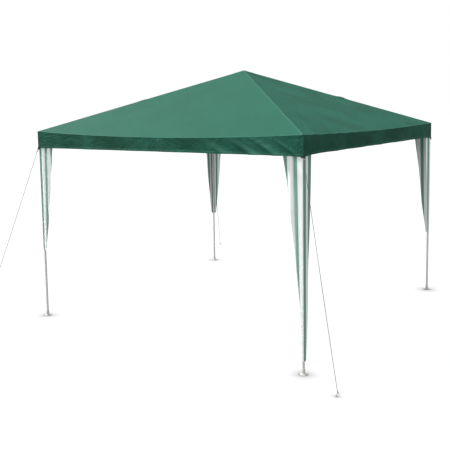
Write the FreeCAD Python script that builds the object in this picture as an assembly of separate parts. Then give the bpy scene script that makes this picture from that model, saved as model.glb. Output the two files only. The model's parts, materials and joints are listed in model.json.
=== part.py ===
import FreeCAD, Part
import math
import os

# Pop up gazebo, 3 m by 3 m: a hub on a short mast carries four folding arms along the hips of a
# pyramid canopy. Each arm folds at a knee and ends in a sprung telescopic leg. Three guy ropes
# hold the corners. Millimetres, +Z up, origin on the ground at the centre of the four feet.
# X and Y run along the sides of the canopy. The corners are named as seen from the front one:
# front (+X, -Y), right (+X, +Y), back (-X, +Y) and left (-X, -Y).
Vector = FreeCAD.Vector
UP = Vector(0, 0, 1)
DOWN = Vector(0, 0, -1)
SIDEWAYS = Vector(0, 1, 0)
INWARDS = Vector(-1, 0, 0)
ORIGIN = Vector(0, 0, 0)
CORNERS = {"front": -45.0, "right": 45.0, "back": 135.0, "left": 225.0}

# ---- canopy ----
side = 3000.0
eave_height = 1890.0
apex_height = 2480.0
valance_depth = 170.0
canopy_cloth = 1.0

# ---- leg curtains ----
curtain_cloth = 1.0
curtain_gap = 1.0
curtain_top_drop = 12.0
curtain_top_width = 205.0
curtain_knee_height = 700.0
curtain_knee_width = 48.0
curtain_foot_width = 30.0
curtain_last_step = 10.0
curtain_ends = {"front": 110.0, "right": 660.0, "back": 660.0, "left": 690.0}

# ---- tubes ----
arm_radius = 10.0
arm_wall = 1.2
leg_radius = 12.5
leg_wall = 1.2
leg_slide_gap = 0.3
lower_wall = 1.2
leg_behind_curtain = 0.8
mast_radius = 12.5
mast_wall = 1.2

# ---- hub, arms and their pivots ----
stretcher_length = 260.0
cover_clear = 4.5
knee_clear = 4.0
elbow_clear = 4.0
stretcher_clear = 7.0
hub_clear = 12.5
head_clear = 1.0
root_clear = 13.5
fork_clear = 9.5
pin_radius = 2.5
pin_gap = 0.05
open_pivot_gap = 0.3
head_radius = 4.6
head_thickness = 1.2
head_gap = 0.1
tongue_half = 4.0
side_gap = 0.3
ear_thickness = 4.0
stretcher_half = 2.0
stretcher_ear = 3.0
stretcher_radius = 7.0
lug_radius = 8.5
fit_gap = 0.05
socket_wall = 3.0
socket_length = 42.0
socket_end = 4.0
socket_skin = 2.0
prong_length = 26.0
prong_high = 4.0
prong_low = 8.0
collar_wall = 4.0
collar_half_length = 14.0
collar_root = 1.0

# ---- hub and runner ----
hub_wall = 11.5
hub_below_pivot = 16.0
ear_root = 6.0
ear_root_half = 13.0
runner_ear_root_half = 12.0
dome_radius = 44.0
dome_clear = 3.2
dome_edge_drop = 26.0
dome_rim = 6.0
mast_in_hub = 26.0
mast_spare = 15.0
mast_cap_flange = 6.5
mast_cap_thickness = 5.0
plug_length = 18.0
runner_half_height = 15.0
runner_slide_gap = 0.3

# ---- legs ----
bracket_top_drop = 6.0
bracket_below_elbow = 7.8
upper_bottom = 950.0
tube_overlap = 100.0
stroke_spare = 12.0
fold_spare = 8.0
lock_holes = 7
button_radius = 3.8
button_gap = 0.2
lock_hole_gap = 0.5
button_below_top = 40.0
button_out = 3.0
button_dome = 1.6
button_length = 11.0
foot_radius = 29.0
foot_plate = 5.0
foot_edge = 2.0
foot_socket_wall = 3.0
foot_socket_height = 45.0
foot_seat = 8.0
drain_hole_radius = 3.0
drain_holes = (62.0, 86.0)
past_surface = 1.0
touching = 0.01

# ---- guy ropes ----
rope_radius = 2.0
rope_loop_radius = 6.5
arc_share = 0.45
ring_wire = 1.6
ring_radius = 9.0
ring_below_hem = 12.0
ring_outward = 8.0
loop_slack = 0.3
peg_wire = 3.0
peg_arch_radius = 10.0
peg_height = 30.0
peg_tail = 14.0
peg_places = {
    "front": (1887.0, -1716.0),
    "left": (-2000.0, -1871.0),
    "back": (-2043.0, 2418.0),
}
rope_routes = {
    "front": [(1508.1, -1507.0, 1688.2), (1688.9, -1606.7, 861.6), (1884.8, -1714.8, 39.5)],
    "left": [(-1508.8, -1508.0, 1688.5), (-1746.2, -1683.5, 860.7), (-1997.3, -1869.0, 39.2)],
    "back": [(-1508.7, 1510.8, 1689.5), (-1770.7, 1955.6, 859.1), (-2040.3, 2413.5, 38.3)],
}

# ---- sizes worked out from the ones above ----
half = side / 2
half_diagonal = half * math.sqrt(2)
hip_rise = apex_height - eave_height
hip_angle = math.degrees(math.atan2(hip_rise, half_diagonal))
hip_cos = math.cos(math.radians(hip_angle))
hip_sin = math.sin(math.radians(hip_angle))
face_slope = hip_rise / half
face_cos = math.cos(math.atan(face_slope))
hem_height = eave_height - valance_depth
curtain_face = half - canopy_cloth - curtain_gap
leg_line = curtain_face - curtain_cloth - leg_behind_curtain - leg_radius
leg_out = leg_line * math.sqrt(2)
lower_radius = leg_radius - leg_wall - leg_slide_gap
socket_radius = arm_radius + socket_wall
hub_radius = mast_radius + hub_wall
hub_pivot_radius = hub_radius + lug_radius + hub_clear
hub_pivot_drop = arm_radius + stretcher_radius + stretcher_clear
knee_pivot_rise = socket_radius + knee_clear
elbow_pivot_drop = arm_radius + elbow_clear
elbow_to_leg = leg_radius + lug_radius + head_clear
arm_below_hip = knee_pivot_rise + lug_radius + canopy_cloth + cover_clear
root_start = lug_radius + root_clear
socket_start = lug_radius + fork_clear
socket_reach = socket_radius - socket_skin
mast_cap_radius = mast_radius + mast_cap_flange
bracket_top = eave_height - bracket_top_drop
lower_top = upper_bottom + tube_overlap
button_height = lower_top - button_below_top
ear_half = tongue_half + side_gap
pin_hole = pin_radius + pin_gap
dome_sphere = (dome_radius**2 + dome_edge_drop**2) / (2 * dome_edge_drop)
dome_top = apex_height - canopy_cloth / face_cos - dome_sphere * (1 / face_cos - 1) - dome_clear


def along_hip(distance_out, below):
    """How far from the apex, along the hip, a point lies that is distance_out from the axis."""
    return (distance_out + below * hip_sin) / hip_cos


def below_hip(along, below):
    """The point of the diagonal plane that is along the hip from the apex and below it."""
    out = along * hip_cos - below * hip_sin
    height = apex_height - along * hip_sin - below * hip_cos
    return Vector(out, 0, height)


hub_below_hip = arm_below_hip + hub_pivot_drop
knee_below_hip = arm_below_hip - knee_pivot_rise
elbow_below_hip = arm_below_hip + elbow_pivot_drop
hub_along = along_hip(hub_pivot_radius, hub_below_hip)
elbow_along = along_hip(leg_out - elbow_to_leg, elbow_below_hip)
arm_length = (elbow_along - hub_along) / 2
hub_pivot = below_hip(hub_along, hub_below_hip)
knee_pivot = below_hip(hub_along + arm_length, knee_below_hip)
elbow_pivot = below_hip(elbow_along, elbow_below_hip)
stretcher_pivot = below_hip(hub_along + stretcher_length, hub_below_hip)
runner_pivot = Vector(hub_pivot_radius, 0, hub_pivot.z - 2 * stretcher_length * hip_sin)
mast_top = hub_pivot.z - hub_below_pivot + mast_in_hub
mast_bottom = hub_pivot.z - 2 * stretcher_length - runner_half_height - mast_spare
mast_length = mast_top - mast_bottom
upper_top = elbow_pivot.z - bracket_below_elbow
upper_length = upper_top - upper_bottom
room_in_tube = upper_length - tube_overlap - plug_length - stroke_spare
room_when_folded = elbow_pivot.z - arm_length - lug_radius - foot_plate - fold_spare
leg_stroke = math.floor(min(room_in_tube, room_when_folded))
lock_pitch = leg_stroke / (lock_holes - 1)


def cylinder(radius, length, base, direction=UP):
    return Part.makeCylinder(radius, length, base, direction)


def tube(outer, inner, length, base, direction=UP):
    return cylinder(outer, length, base, direction).cut(cylinder(inner, length, base, direction))


def plate(points, lateral, thickness):
    """A flat plate with its outline (x, z) in the diagonal plane, from lateral outwards."""
    outline = [Vector(x, lateral, z) for x, z in points]
    outline.append(outline[0])
    return Part.Face(Part.makePolygon(outline)).extrude(SIDEWAYS * thickness)


def lug(pivot, radius, foot, lateral, thickness):
    """A plate that runs from a round end at the pivot to two foot points (x, z), with a pin hole."""
    first, second = foot
    middle_x = (first[0] + second[0]) / 2 - pivot.x
    middle_z = (first[1] + second[1]) / 2 - pivot.z
    reach = math.hypot(middle_x, middle_z)
    side_x = -middle_z / reach * radius
    side_z = middle_x / reach * radius
    if (first[0] - second[0]) * side_x + (first[1] - second[1]) * side_z < 0:
        side_x, side_z = -side_x, -side_z
    outline = [
        first,
        (pivot.x + side_x, pivot.z + side_z),
        (pivot.x - side_x, pivot.z - side_z),
        second,
    ]
    base = Vector(pivot.x, lateral, pivot.z)
    shape = plate(outline, lateral, thickness)
    shape = shape.fuse(cylinder(radius, thickness, base, SIDEWAYS))
    return shape.cut(cylinder(pin_hole, thickness, base, SIDEWAYS))


def ears(pivot, radius, foot, inside, thickness):
    """Two equal lugs, one each side of the diagonal plane."""
    near = lug(pivot, radius, foot, inside, thickness)
    far = lug(pivot, radius, foot, -inside - thickness, thickness)
    return near, far


def rivet(pivot, half_width):
    """A pin across the diagonal plane with a head at each end."""
    reach = half_width + head_gap
    pin = cylinder(pin_radius, 2 * reach, Vector(pivot.x, -reach, pivot.z), SIDEWAYS)
    for lateral in (-reach - head_thickness, reach):
        base = Vector(pivot.x, lateral, pivot.z)
        pin = pin.fuse(cylinder(head_radius, head_thickness, base, SIDEWAYS))
    return pin.removeSplitter()


def on_arm(shape, origin):
    """Moves a shape made with X along the arm and Z square to it on to the hip at origin."""
    moved = shape.copy()
    moved.rotate(ORIGIN, SIDEWAYS, hip_angle)
    moved.translate(origin)
    return moved


def socket(start, height, open_at_end, lugs):
    """A cup on the arm tube from start, closed at one end, with its axis at height and its lugs."""
    along = Vector(1, 0, 0)
    cup = cylinder(socket_radius, socket_length, Vector(start, 0, height), along)
    for shape in lugs:
        cup = cup.fuse(shape)
    bore_start = start + socket_end if open_at_end else start
    bore_length = socket_length - socket_end
    bore = cylinder(arm_radius + fit_gap, bore_length, Vector(bore_start, 0, height), along)
    return cup.cut(bore)


def arm_tube(start, end, height):
    return tube(arm_radius, arm_radius - arm_wall, end - start, Vector(start, 0, height), Vector(1, 0, 0))


def inner_arm():
    start = root_start + socket_end
    end = arm_length - socket_start - socket_end
    return on_arm(arm_tube(start, end, hub_pivot_drop), hub_pivot)


def outer_arm():
    start = socket_start + socket_end
    end = arm_length - socket_start - socket_end
    return on_arm(arm_tube(start, end, -knee_pivot_rise), knee_pivot)


def inner_arm_fittings():
    """Root fitting, stretcher collar and knee fork, with the stretcher and knee rivets."""
    axis = hub_pivot_drop
    upper_root = (root_start + socket_skin, axis + socket_reach)
    lower_root = (root_start + socket_radius, axis - socket_reach)
    foot = (upper_root, lower_root)
    tongue = lug(ORIGIN, lug_radius, foot, -tongue_half, 2 * tongue_half)
    root = socket(root_start, axis, True, [tongue])

    collar_start = stretcher_length - collar_half_length
    collar_radius = arm_radius + collar_wall
    base = Vector(collar_start, 0, axis)
    collar = tube(collar_radius, arm_radius + fit_gap, 2 * collar_half_length, base, Vector(1, 0, 0))
    pivot = Vector(stretcher_length, 0, 0)
    level = axis - arm_radius - collar_root
    foot = ((collar_start, level), (collar_start + 2 * collar_half_length, level))
    for ear in ears(pivot, stretcher_radius, foot, stretcher_half + side_gap, stretcher_ear):
        collar = collar.fuse(ear)

    fork_end = arm_length - socket_start
    knee = Vector(arm_length, 0, axis + knee_pivot_rise)
    prong_end = fork_end - socket_skin
    foot = ((prong_end - prong_length, axis + prong_high), (prong_end, axis - prong_low))
    prongs = ears(knee, lug_radius, foot, ear_half, ear_thickness)
    fork = socket(fork_end - socket_length, axis, False, prongs)

    stretcher_rivet = rivet(pivot, stretcher_half + side_gap + stretcher_ear)
    knee_rivet = rivet(knee, ear_half + ear_thickness)
    solids = [root, collar, fork, stretcher_rivet, knee_rivet]
    return Part.makeCompound([on_arm(s, hub_pivot) for s in solids])


def outer_arm_fittings():
    """Knee tongue and elbow tongue, each on its end of the outer tube."""
    axis = -knee_pivot_rise
    near = socket_start + socket_skin
    foot = ((near + prong_length, axis + prong_high), (near, axis - prong_low))
    tongue = lug(ORIGIN, lug_radius, foot, -tongue_half, 2 * tongue_half)
    knee = socket(socket_start, axis, True, [tongue])

    end = arm_length - socket_start
    pivot = Vector(arm_length, 0, axis - elbow_pivot_drop)
    foot = ((end - socket_skin, axis + prong_low), (end - prong_length, axis - prong_low))
    tongue = lug(pivot, lug_radius, foot, -tongue_half, 2 * tongue_half)
    elbow = socket(end - socket_length, axis, False, [tongue])
    return Part.makeCompound([on_arm(s, knee_pivot) for s in (knee, elbow)])


def stretcher(runner_hole):
    """A flat bar from the arm's collar to the runner, with round ends."""
    run = runner_pivot - stretcher_pivot
    normal = Vector(-run.z, 0, run.x).normalize() * stretcher_radius
    corners = [stretcher_pivot + normal, runner_pivot + normal]
    corners += [runner_pivot - normal, stretcher_pivot - normal]
    bar = plate([(point.x, point.z) for point in corners], -stretcher_half, 2 * stretcher_half)
    for pivot in (stretcher_pivot, runner_pivot):
        base = Vector(pivot.x, -stretcher_half, pivot.z)
        bar = bar.fuse(cylinder(stretcher_radius, 2 * stretcher_half, base, SIDEWAYS))
    for pivot, hole in ((stretcher_pivot, pin_hole), (runner_pivot, runner_hole)):
        base = Vector(pivot.x, -stretcher_half, pivot.z)
        bar = bar.cut(cylinder(hole, 2 * stretcher_half, base, SIDEWAYS))
    return bar.removeSplitter()


def four_ways(shape):
    """Copies of a shape turned to the four corners."""
    copies = []
    for angle in CORNERS.values():
        turned = shape.copy()
        turned.rotate(ORIGIN, UP, angle)
        copies.append(turned)
    return copies


def hub():
    """Round core with a domed top and four forks, bored from below for the mast."""
    bottom = hub_pivot.z - hub_below_pivot
    dome_bottom = dome_top - dome_edge_drop
    core = cylinder(hub_radius, dome_bottom - bottom, Vector(0, 0, bottom))
    cap = Part.makeSphere(dome_sphere, Vector(0, 0, dome_top - dome_sphere))
    trim = cylinder(dome_radius, dome_edge_drop + dome_rim, Vector(0, 0, dome_bottom - dome_rim))
    cap = cap.common(trim)
    body = core.fuse(cap)
    reach = hub_radius - ear_root
    foot = ((reach, hub_pivot.z + ear_root_half), (reach, hub_pivot.z - ear_root_half))
    for ear in ears(hub_pivot, lug_radius, foot, ear_half, ear_thickness):
        for turned in four_ways(ear):
            body = body.fuse(turned)
    bore = cylinder(mast_radius + fit_gap, mast_in_hub, Vector(0, 0, bottom))
    return body.cut(bore).removeSplitter()


def mast():
    return tube(mast_radius, mast_radius - mast_wall, mast_length, Vector(0, 0, mast_bottom))


def mast_end_cap():
    """A plug in the lower end of the mast, with a flange that stops the runner."""
    low = mast_bottom - mast_cap_thickness
    flange = cylinder(mast_cap_radius, mast_cap_thickness, Vector(0, 0, low))
    plug = cylinder(mast_radius - mast_wall - fit_gap, plug_length, Vector(0, 0, mast_bottom))
    return flange.fuse(plug)


def runner():
    """The sliding collar on the mast, with four forks for the stretchers."""
    low = Vector(0, 0, runner_pivot.z - runner_half_height)
    body = cylinder(hub_radius, 2 * runner_half_height, low)
    reach = hub_radius - ear_root
    middle = runner_pivot.z
    foot = ((reach, middle + runner_ear_root_half), (reach, middle - runner_ear_root_half))
    for ear in ears(runner_pivot, stretcher_radius, foot, stretcher_half + side_gap, stretcher_ear):
        for turned in four_ways(ear):
            body = body.fuse(turned)
    bore = cylinder(mast_radius + runner_slide_gap, 2 * runner_half_height, low)
    return body.cut(bore).removeSplitter()


def upper_leg():
    """The fixed leg tube, with a row of lock holes on its inner side."""
    leg = tube(leg_radius, leg_radius - leg_wall, upper_length, Vector(leg_out, 0, upper_bottom))
    hole = button_radius + lock_hole_gap
    for step in range(lock_holes):
        base = Vector(leg_out, 0, button_height + step * lock_pitch)
        leg = leg.cut(cylinder(hole, leg_radius + past_surface, base, INWARDS))
    return leg


def leg_bracket():
    """The elbow fitting in the top of the leg, with its fork and rivet."""
    plug_radius = leg_radius - leg_wall - fit_gap
    head = cylinder(leg_radius, bracket_top - upper_top, Vector(leg_out, 0, upper_top))
    plug_base = Vector(leg_out, 0, upper_top - plug_length)
    head = head.fuse(cylinder(plug_radius, plug_length, plug_base))
    reach = leg_out - leg_radius + ear_root
    foot = ((reach, bracket_top - socket_skin), (reach, upper_top + socket_skin))
    for ear in ears(elbow_pivot, lug_radius, foot, ear_half, ear_thickness):
        head = head.fuse(ear)
    return Part.makeCompound([head, rivet(elbow_pivot, ear_half + ear_thickness)])


def lower_leg():
    """The sliding leg tube, with a button hole near the top and drain holes above the foot."""
    length = lower_top - foot_seat
    leg = tube(lower_radius, lower_radius - lower_wall, length, Vector(leg_out, 0, foot_seat))
    reach = lower_radius + past_surface
    button_base = Vector(leg_out, 0, button_height)
    leg = leg.cut(cylinder(button_radius + button_gap, reach, button_base, INWARDS))
    for height in drain_holes:
        base = Vector(leg_out + reach, 0, height)
        leg = leg.cut(cylinder(drain_hole_radius, 2 * reach, base, INWARDS))
    return leg


def foot():
    """A round foot plate with a rounded rim and a socket for the lower tube."""
    base = Vector(leg_out, 0, 0)
    plate_shape = cylinder(foot_radius, foot_plate, base)
    rim = []
    for edge in plate_shape.Edges:
        if abs(edge.CenterOfMass.z - foot_plate) < touching:
            rim.append(edge)
    plate_shape = plate_shape.makeFillet(foot_edge, rim)
    cup_radius = lower_radius + fit_gap + foot_socket_wall
    cup = cylinder(cup_radius, foot_socket_height, base)
    bore = cylinder(lower_radius + fit_gap, foot_socket_height, Vector(leg_out, 0, foot_seat))
    return plate_shape.fuse(cup).cut(bore).removeSplitter()


def lock_button():
    """The sprung button of the lower tube, with a domed end that stands out of the upper tube."""
    tip = leg_out - leg_radius - button_out
    start = Vector(tip + button_length, 0, button_height)
    button = cylinder(button_radius, button_length, start, INWARDS)
    rim = [edge for edge in button.Edges if abs(edge.CenterOfMass.x - tip) < touching]
    return button.makeFillet(button_dome, rim)


def tent(half_side, bottom, eave, apex):
    """A closed square block with a pyramid on it."""
    signs = ((1, -1), (1, 1), (-1, 1), (-1, -1))
    low = [Vector(x * half_side, y * half_side, bottom) for x, y in signs]
    high = [Vector(x * half_side, y * half_side, eave) for x, y in signs]
    top = Vector(0, 0, apex)
    faces = [Part.Face(Part.makePolygon(low + [low[0]]))]
    for i in range(4):
        j = (i + 1) % 4
        faces.append(Part.Face(Part.makePolygon([low[i], low[j], high[j], high[i], low[i]])))
        faces.append(Part.Face(Part.makePolygon([high[i], high[j], top, high[i]])))
    solid = Part.Solid(Part.Shell(faces))
    if solid.Volume < 0:
        solid.reverse()
    return solid


def canopy():
    """The whole cloth cover: four roof faces and the valance, open below."""
    inside = half - canopy_cloth
    inner_apex = apex_height - canopy_cloth / face_cos
    outer = tent(half, hem_height, eave_height, apex_height)
    below_hem = hem_height - past_surface
    inner = tent(inside, below_hem, inner_apex - inside * face_slope, inner_apex)
    return outer.cut(inner)


def curtain(end_height):
    """Two tapering strips that meet at the corner, outside the leg and inside the valance."""
    top = eave_height - curtain_top_drop
    knee = max(curtain_knee_height, end_height + curtain_last_step)
    outline = [(0, top), (curtain_top_width, top), (curtain_knee_width, knee)]
    outline += [(curtain_foot_width, end_height), (0, end_height)]
    across = []
    along = []
    for width, height in outline:
        across.append(Vector(curtain_face - width, curtain_face, height))
        along.append(Vector(curtain_face, curtain_face - width, height))
    across.append(across[0])
    along.append(along[0])
    one = Part.Face(Part.makePolygon(across)).extrude(Vector(0, -curtain_cloth, 0))
    other = Part.Face(Part.makePolygon(along)).extrude(Vector(-curtain_cloth, 0, 0))
    return one.fuse(other).removeSplitter()


def tangent_path(points):
    """Straight runs joined by arcs that touch them, each arc as large as its runs allow."""
    edges = []
    start = points[0]
    for before, here, after in zip(points, points[1:], points[2:]):
        back = before - here
        ahead = after - here
        half_turn = (math.pi - back.getAngle(ahead)) / 2
        reach = arc_share * min(back.Length, ahead.Length)
        radius = reach / math.tan(half_turn)
        print("rope arc radius %.0f mm, run %.0f mm" % (radius, back.Length))
        enter = here + back.normalize() * reach
        leave = here + ahead.normalize() * reach
        bisector = (enter + leave) / 2 - here
        bisector.normalize()
        middle = here + bisector * (radius / math.cos(half_turn) - radius)
        edges.append(Part.LineSegment(start, enter).toShape())
        edges.append(Part.Arc(enter, middle, leave).toShape())
        start = leave
    edges.append(Part.LineSegment(start, points[-1]).toShape())
    return Part.Wire(edges)


def rope_frame(corner):
    """The ring's lower wire, the peg's arch top, the outward direction and the hinge direction."""
    angle = math.radians(CORNERS[corner])
    reach = half_diagonal + ring_outward
    height = hem_height - ring_below_hem - ring_radius
    ring_point = Vector(reach * math.cos(angle), reach * math.sin(angle), height)
    peg_point = Vector(*peg_places[corner], peg_height)
    outward = Vector(peg_point.x - ring_point.x, peg_point.y - ring_point.y, 0).normalize()
    return ring_point, peg_point, outward, UP.cross(outward)


def guy_ring(corner):
    """The steel ring that hangs at the hem, facing the way the rope leaves."""
    ring_point, peg_point, outward, across = rope_frame(corner)
    return Part.makeTorus(ring_radius, ring_wire, ring_point + UP * ring_radius, outward)


def rope(corner):
    """A taut rope with an eye at each end: one through the ring, one round the peg's arch."""
    ring_point, peg_point, outward, across = rope_frame(corner)
    run = (peg_point - ring_point).normalize()
    eye_inside = rope_loop_radius - rope_radius
    top_eye = ring_point + run * (eye_inside - ring_wire - loop_slack)
    low_eye = peg_point - run * (eye_inside - peg_wire - loop_slack)
    points = [Vector(*point) for point in rope_routes[corner]]
    path = tangent_path(points)
    section = Part.Wire(Part.makeCircle(rope_radius, points[0], points[1] - points[0]))
    line = path.makePipeShell([section], True, False)
    share = line.Volume / (math.pi * rope_radius**2 * path.Length)
    print("%s rope: %.0f mm long, volume %.4f of section times length" % (corner, path.Length, share))
    solids = [line]
    for centre in (top_eye, low_eye):
        solids.append(Part.makeTorus(rope_loop_radius, rope_radius, centre, across))
    return Part.makeCompound(solids)


def peg(corner):
    """The part of a wire peg that stands above the ground: a shaft, an arch and a short tail."""
    ring_point, peg_point, outward, across = rope_frame(corner)
    shaft_top = peg_point - UP * peg_arch_radius - across * peg_arch_radius
    tail_top = peg_point - UP * peg_arch_radius + across * peg_arch_radius
    shaft_foot = Vector(shaft_top.x, shaft_top.y, 0)
    tail_end = Vector(tail_top.x, tail_top.y, peg_tail)
    edges = [
        Part.LineSegment(shaft_foot, shaft_top).toShape(),
        Part.Arc(shaft_top, peg_point, tail_top).toShape(),
        Part.LineSegment(tail_top, tail_end).toShape(),
    ]
    section = Part.Wire(Part.makeCircle(peg_wire, shaft_foot, UP))
    return Part.Wire(edges).makePipeShell([section], True, False)


def save(shape, name):
    shape.exportStep("parts/%s.step" % name)


def save_at(shape, corner, name):
    """Saves a shape made in the diagonal plane, turned to its corner."""
    turned = shape.copy()
    turned.rotate(ORIGIN, UP, CORNERS[corner])
    save(turned, "%s_%s" % (corner, name))


def main():
    os.makedirs("parts", exist_ok=True)
    save(hub(), "hub")
    save(Part.makeCompound(four_ways(rivet(hub_pivot, ear_half + ear_thickness))), "hub_pins")
    save(mast(), "mast")
    save(mast_end_cap(), "mast_end_cap")
    save(runner(), "runner")
    runner_rivet = rivet(runner_pivot, stretcher_half + side_gap + stretcher_ear)
    save(Part.makeCompound(four_ways(runner_rivet)), "runner_pins")
    save(canopy(), "canopy")

    for corner in CORNERS:
        closed = corner == "front"
        runner_hole = pin_hole if closed else pin_radius + open_pivot_gap
        save_at(inner_arm(), corner, "inner_arm")
        save_at(inner_arm_fittings(), corner, "inner_arm_fittings")
        save_at(stretcher(runner_hole), corner, "stretcher")
        save_at(outer_arm(), corner, "outer_arm")
        save_at(outer_arm_fittings(), corner, "outer_arm_fittings")
        save_at(upper_leg(), corner, "upper_leg")
        save_at(leg_bracket(), corner, "leg_bracket")
        save_at(lower_leg(), corner, "lower_leg")
        save_at(foot(), corner, "foot")
        save_at(lock_button(), corner, "lock_button")
        strips = curtain(curtain_ends[corner])
        strips.rotate(ORIGIN, UP, CORNERS[corner] - CORNERS["right"])
        save(strips, "%s_curtain" % corner)

    for corner in peg_places:
        save(guy_ring(corner), "%s_guy_ring" % corner)
        save(rope(corner), "%s_rope" % corner)
        save(peg(corner), "%s_peg" % corner)

    print("hip angle %.6f deg" % hip_angle)
    for name, pivot in (
        ("hub", hub_pivot),
        ("knee", knee_pivot),
        ("elbow", elbow_pivot),
        ("stretcher", stretcher_pivot),
        ("runner", runner_pivot),
    ):
        print("%s pivot: out %.6f, height %.6f" % (name, pivot.x, pivot.z))
    print("leg axis out %.6f, lock button height %.3f" % (leg_out, button_height))
    print("stroke %.1f, button travel %.1f" % (leg_stroke, button_out + leg_wall + leg_slide_gap))
    for corner in peg_places:
        ring_point, peg_point, outward, across = rope_frame(corner)
        print("%s rope hinge at %s, outward %s" % (corner, ring_point, outward))


main()
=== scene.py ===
import json
import math

import bmesh
import bpy
import numpy as np
from bpy.props import FloatProperty, FloatVectorProperty, PointerProperty
from mathutils import Matrix, Vector


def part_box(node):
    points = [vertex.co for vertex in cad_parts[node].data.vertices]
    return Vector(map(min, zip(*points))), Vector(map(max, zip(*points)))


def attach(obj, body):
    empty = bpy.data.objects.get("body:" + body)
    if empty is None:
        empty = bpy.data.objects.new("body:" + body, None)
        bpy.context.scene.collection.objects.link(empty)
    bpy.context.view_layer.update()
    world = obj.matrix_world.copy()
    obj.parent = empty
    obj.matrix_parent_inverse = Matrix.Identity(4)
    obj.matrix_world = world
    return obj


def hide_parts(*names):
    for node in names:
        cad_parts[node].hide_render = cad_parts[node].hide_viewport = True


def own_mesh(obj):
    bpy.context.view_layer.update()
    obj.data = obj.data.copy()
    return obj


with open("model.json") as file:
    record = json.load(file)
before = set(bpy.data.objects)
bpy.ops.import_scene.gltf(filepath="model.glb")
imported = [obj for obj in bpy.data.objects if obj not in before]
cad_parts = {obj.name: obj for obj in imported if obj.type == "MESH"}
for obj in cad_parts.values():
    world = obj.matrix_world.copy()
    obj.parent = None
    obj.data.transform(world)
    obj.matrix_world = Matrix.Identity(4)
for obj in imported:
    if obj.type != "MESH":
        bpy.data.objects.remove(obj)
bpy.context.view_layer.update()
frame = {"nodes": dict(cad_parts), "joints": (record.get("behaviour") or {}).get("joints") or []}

bl_info = {
    "name": "Pop up gazebo",
    "version": (1, 0, 0),
    "blender": (4, 5, 0),
    "location": "3D View > Sidebar > Gazebo",
    "description": "Cloth, guy ropes and finishes for a folding gazebo, 3 m by 3 m",
    "category": "Object",
}

# The frame's own sizes, in metres. The corners are named as seen from the front one.
CANOPY_LOW, CANOPY_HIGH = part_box("canopy")
HALF = CANOPY_HIGH.x
APEX = CANOPY_HIGH.z
HEM = CANOPY_LOW.z
JOINTS = {joint["name"]: joint for joint in frame["joints"]}
KNEE = abs(JOINTS["front_knee"]["pos_m"][0])
LEG_LOW, LEG_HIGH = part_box("front_upper_leg")
LEG_LINE = (LEG_LOW.x + LEG_HIGH.x) / 2
CURTAIN_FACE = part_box("front_curtain")[1].x
CURTAIN_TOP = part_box("front_curtain")[1].z
CORNERS = {"front": (1, -1), "right": (1, 1), "back": (-1, 1), "left": (-1, -1)}
FACES = ("x", "y")
ROOT_TWO = math.sqrt(2)

# Each rope's route, from its ring down to its peg, and the radii of the rope and of its eyes.
ROPE_RADIUS = 0.002
ROPE_EYE = 0.0065
EYE_GAP = 0.0001
ROPE_ROUTES = {
    "front": [(1.5081, -1.5070, 1.6882), (1.6889, -1.6067, 0.8616), (1.8848, -1.7148, 0.0395)],
    "left": [(-1.5088, -1.5080, 1.6885), (-1.7462, -1.6835, 0.8607), (-1.9973, -1.8690, 0.0392)],
    "back": [(-1.5087, 1.5108, 1.6895), (-1.7707, 1.9556, 0.8591), (-2.0403, 2.4135, 0.0383)],
}

# Widths of the curtains, as (height, width) up each face; a face not listed takes COMMON_WIDTHS.
COMMON_WIDTHS = [(0.66, 0.042), (0.70, 0.045), (1.00, 0.090), (1.40, 0.130), (1.878, 0.204)]
CURTAIN_WIDTHS = {
    ("front", "y"): [
        (0.11, 0.013), (0.45, 0.024), (0.69, 0.046), (1.09, 0.092), (1.40, 0.127), (1.878, 0.200),
    ],
    ("front", "x"): [
        (0.11, 0.030), (0.27, 0.048), (0.68, 0.067), (1.00, 0.090), (1.39, 0.110), (1.878, 0.140),
    ],
    ("left", "y"): [(0.69, 0.043), (0.97, 0.088), (1.23, 0.133), (1.73, 0.195), (1.878, 0.204)],
}

# Where each stripe of a curtain begins, from its corner, and how green it is; the last entry only
# ends the stripe before it. Neighbouring stripes blend over twice the edge's width.
STRIPE_EDGE = 0.001
STRIPES = [
    (-0.215, 0.0), (-0.187, 1.0), (-0.152, 0.0), (-0.101, 0.55), (-0.090, 1.0), (-0.055, 0.0),
    (-0.003, 1.0), (0.038, 0.0), (0.082, 1.0), (0.122, 0.0), (0.166, 1.0), (0.215, 0.0),
]

# Values for the four sides -Y, +X, +Y and -X: how creased the roof is, which also sets how strong the painted
# shade in its creases is, how strong its ridges are and the phase that sets their places apart.
ROOF_CREASE = (0.05, 0.30, 0.20, 0.20)
ROOF_RIDGE = (0.25, 1.0, 0.6, 0.6)
ROOF_PHASE = (0.4, 2.1, 3.6, 5.0)

# The roof's ridges run beside each hip, its pulls spread from each corner.
RIDGE_PITCH = 0.155
RIDGE_NEAR = 0.06
RIDGE_FAR = 0.62
PULL_WAVES = 19
PULL_NEAR = 0.14
PULL_FAR = 0.45
PULL_SHARE = 0.6
KNEE_BREADTH = 0.045
LOW_KNEE = 0.35
SEAM_BREADTH = 0.008

# The valance's flutes, its sewn hem and the folds pressed into the -Y side, the last as (distance
# along the side, breadth, depth as a share of the flute's).
VALANCE_TALL = 0.17
BROAD_FLUTE = 0.52
NARROW_FLUTE = 0.193
HEM_TALL = 0.018
HEM_THICK = 0.0010
PRESSED_FOLDS = [(1.20, 0.030, 1.2), (1.02, 0.045, 1.6), (0.80, 0.050, 1.3), (0.52, 0.060, 1.0)]
PRESSED_SLANT = 0.26

# The webbing and its corner patches, the wire of a ring, and how far the hub's patch is off the roof.
WEB_THICK = 0.0012
PATCH_RISE = 0.012
PATCH_TALL = 0.030
PATCH_WIDE = 0.026
RING_WIRE = 0.0016
CROWN_LIFT = 0.0012

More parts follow.
